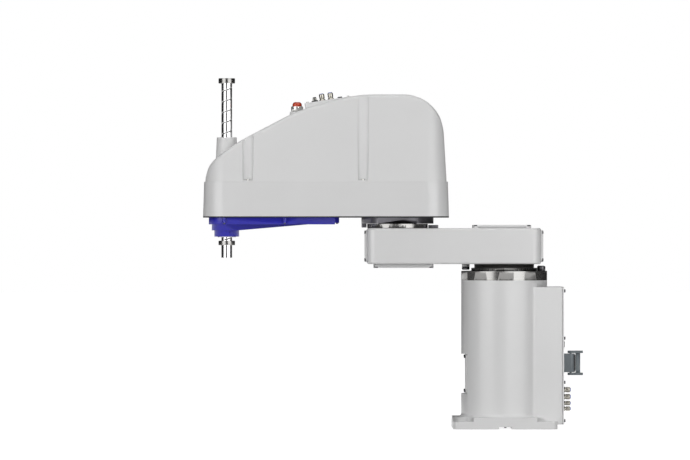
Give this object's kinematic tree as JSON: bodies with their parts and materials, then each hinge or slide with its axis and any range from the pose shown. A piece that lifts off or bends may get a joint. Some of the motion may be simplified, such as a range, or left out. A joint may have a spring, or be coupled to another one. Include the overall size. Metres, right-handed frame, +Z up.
{
  "type": "scara robot",
  "caption": "Floor-standing four-axis SCARA robot: column base, two horizontal arms, hooded outer arm and a vertical hollow tool shaft that slides and turns.",
  "frame": {"origin": "centre of the four foot bolts on the plane the base is bolted to, which is also on the first joint's axis", "axes": "+X forward along the stretched arm, +Y to the arm's left, +Z up"},
  "size_m": [0.8899, 0.24, 0.819],
  "materials": {
    "casting_paint": "satin light grey paint over cast aluminium",
    "cover_paint": "satin light grey moulded cover",
    "sheet_paint": "satin light grey paint on sheet steel",
    "blue_plastic": "semi-gloss blue moulding",
    "ground_steel": "turned and ground steel",
    "dark_steel": "black oxide steel",
    "black_screws": "black oxide screws",
    "bright_screws": "zinc plated screws",
    "shaft_chrome": "hard chromed ground shaft",
    "lamp_chrome": "bright plated",
    "lamp_orange": "translucent orange lens",
    "bearing_steel": "ground bearing steel",
    "pulley_metal": "machined aluminium",
    "belt_rubber": "black toothed belt",
    "motor_black": "black painted motor housings",
    "bare_aluminium": "machined aluminium",
    "slate_plastic": "slate grey connector shell",
    "contact_black": "black insulator",
    "socket_metal": "plated connector shells",
    "fitting_nickel": "nickel plated brass",
    "ring_blue": "blue release ring",
    "button_black": "black push button"
  },
  "bodies": {
    "base": {"base_casting": "casting_paint", "base_front_cover": "sheet_paint", "base_rear_panel": "sheet_paint", "base_cover_screws": "black_screws", "base_ground_screw": "black_screws", "j1_reducer_housing": "ground_steel", "j1_housing_screws": "black_screws", "j1_fixed_stops": "black_screws", "j1_motor": "motor_black", "base_power_connector": "slate_plastic", "base_connector_insert": "contact_black", "base_user_connectors": "socket_metal", "base_air_fittings": "fitting_nickel", "base_fitting_rings": "ring_blue"},
    "connector_lever": {"connector_lever": "slate_plastic"},
    "arm1": {"arm1_casting": "casting_paint", "arm1_top_cover": "sheet_paint", "arm1_bottom_cover": "sheet_paint", "arm1_end_caps": "sheet_paint", "arm1_cover_screws": "black_screws", "j1_output_flange": "ground_steel", "j1_output_screws": "black_screws", "j1_moving_stop": "black_screws", "j2_reducer_housing": "ground_steel", "j2_housing_screws": "black_screws", "j2_fixed_stop": "dark_steel"},
    "spline_nut": {"spline_nut": "bearing_steel", "spline_nut_pulley": "pulley_metal"},
    "ball_nut": {"ball_nut": "bearing_steel", "ball_nut_pulley": "pulley_metal"},
    "z_motor_pulley": {"z_motor_pulley": "pulley_metal"},
    "u_motor_pulley": {"u_motor_pulley": "pulley_metal"},
    "brake_button": {"brake_release_button": "button_black"},
    "shaft": {"tool_shaft": "shaft_chrome", "upper_stop_ring": "ground_steel", "lower_stop_ring": "ground_steel"},
    "arm2": {"arm2_casting": "casting_paint", "arm2_cover": "cover_paint", "arm2_cover_screws": "bright_screws", "j2_output_flange": "dark_steel", "j2_output_screws": "black_screws", "j2_moving_stop": "dark_steel", "j2_motor": "motor_black", "z_motor": "motor_black", "z_motor_brake": "motor_black", "z_motor_bracket": "bare_aluminium", "u_motor": "motor_black", "z_belt": "belt_rubber", "u_belt": "belt_rubber", "spline_nut_support": "bare_aluminium", "ball_nut_support": "bare_aluminium", "belt_cover": "blue_plastic", "belt_cover_screws": "black_screws", "user_panel": "sheet_paint", "user_connectors": "socket_metal", "arm_air_fittings": "fitting_nickel", "arm_fitting_rings": "ring_blue", "lamp_base": "lamp_chrome", "lamp_lens": "lamp_orange"}
  },
  "joints": [
    {"name": "j1", "type": "hinge", "parent": "base", "child": "arm1", "pos_m": [0, 0, 0.368], "axis": [0, 0, 1], "range_deg": [-152, 152]},
    {"name": "j2", "type": "hinge", "parent": "arm1", "child": "arm2", "pos_m": [0.25, 0, 0.478], "axis": [0, 0, 1], "range_deg": [-152.5, 152.5]},
    {"name": "u_turn", "type": "hinge", "parent": "arm2", "child": "spline_nut", "pos_m": [0.65, 0, 0.5], "axis": [0, 0, 1], "range_deg": [-360, 360]},
    {"name": "z_lift", "type": "slide", "parent": "spline_nut", "child": "shaft", "axis": [0, 0, 1], "range_m": [-0.18, 0]},
    {"name": "ball_nut_turn", "type": "hinge", "parent": "spline_nut", "child": "ball_nut", "pos_m": [0.65, 0, 0.53], "axis": [0, 0, 1], "range_deg": [-1, 2600]},
    {"name": "z_pulley_turn", "type": "hinge", "parent": "arm2", "child": "z_motor_pulley", "pos_m": [0.538, 0, 0.557], "axis": [0, 0, 1], "range_deg": [-1, 3900]},
    {"name": "u_pulley_turn", "type": "hinge", "parent": "arm2", "child": "u_motor_pulley", "pos_m": [0.42, 0, 0.487], "axis": [0, 0, 1], "range_deg": [-901, 901]},
    {"name": "brake_button_push", "type": "slide", "parent": "arm2", "child": "brake_button", "axis": [-0.1478, 0, -0.989], "range_m": [0, 0.002], "stiffness_N_per_m": 400, "springref_m": -0.001},
    {"name": "lever_swing", "type": "hinge", "parent": "base", "child": "connector_lever", "pos_m": [-0.1556, 0, 0.1523], "axis": [0, 0, 1], "range_deg": [0, 100]}
  ],
  "couplings": [
    {"joint": "ball_nut_turn", "follows": "z_lift", "rad_per_m": -251.33},
    {"joint": "z_pulley_turn", "follows": "z_lift", "rad_per_m": -376.99},
    {"joint": "u_pulley_turn", "follows": "u_turn", "ratio": 2.5}
  ]
}
